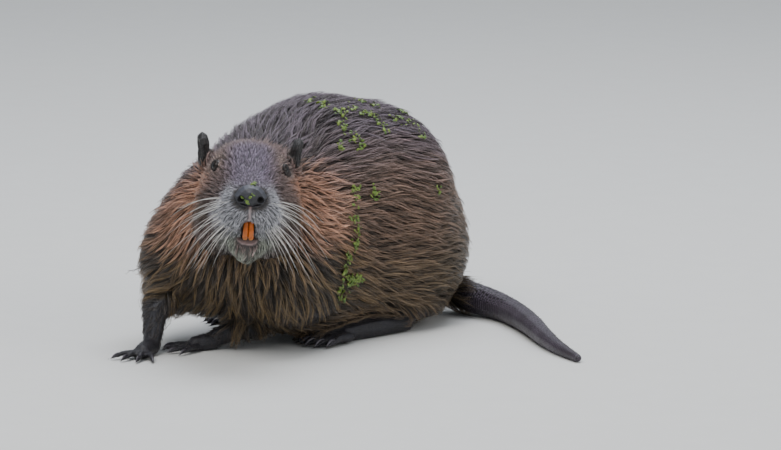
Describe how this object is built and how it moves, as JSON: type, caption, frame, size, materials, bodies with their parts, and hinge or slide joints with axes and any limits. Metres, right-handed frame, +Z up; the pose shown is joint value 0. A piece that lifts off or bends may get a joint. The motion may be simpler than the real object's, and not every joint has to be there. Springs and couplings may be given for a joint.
{
  "type": "coypu",
  "caption": "Life-size still model of a coypu, a large water rodent with a thick coat, crouching with its head raised and its round tail laid on the floor.",
  "frame": {"origin": "on the floor, under the middle of the whole outline, tail included", "axes": "+Z up; the head looks along -Y; +X is the animal's left, the side that the rump and the tail lie on"},
  "size_m": [0.4394, 0.3884, 0.2262],
  "materials": {
    "body_fur": "wet, clumped guard hair, dark brown with golden tips",
    "face_fur": "short grey-brown fur, greying to white round the muzzle",
    "wet_skin": "near-black wrinkled skin with a thin short coat, wet",
    "ear_skin": "dark thin skin with sparse short hair",
    "tail_skin": "grey scaly skin in fine rings, with sparse bristles",
    "nose_skin": "slate-grey pebbled wet skin",
    "enamel": "deep orange tooth enamel",
    "claw": "dark horn",
    "whisker": "stiff whitish bristle",
    "duckweed": "small wet green leaves caught in the coat",
    "eye": "glossy, almost black"
  },
  "bodies": {
    "root": {"head": "face_fur", "jaw": "face_fur", "neck": "body_fur", "trunk": "body_fur", "hindleg_left": "body_fur", "hindleg_right": "body_fur", "foreleg_left": "body_fur", "foreleg_right": "body_fur", "hindfoot_left": "wet_skin", "hindfoot_right": "wet_skin", "forefoot_left": "wet_skin", "forefoot_right": "wet_skin", "ear_left": "ear_skin", "ear_right": "ear_skin", "tail_root": "tail_skin", "tail_middle": "tail_skin", "tail_end": "tail_skin", "nose": "nose_skin", "incisors": "enamel", "eye_left": "eye", "eye_right": "eye"}
  },
  "joints": []
}
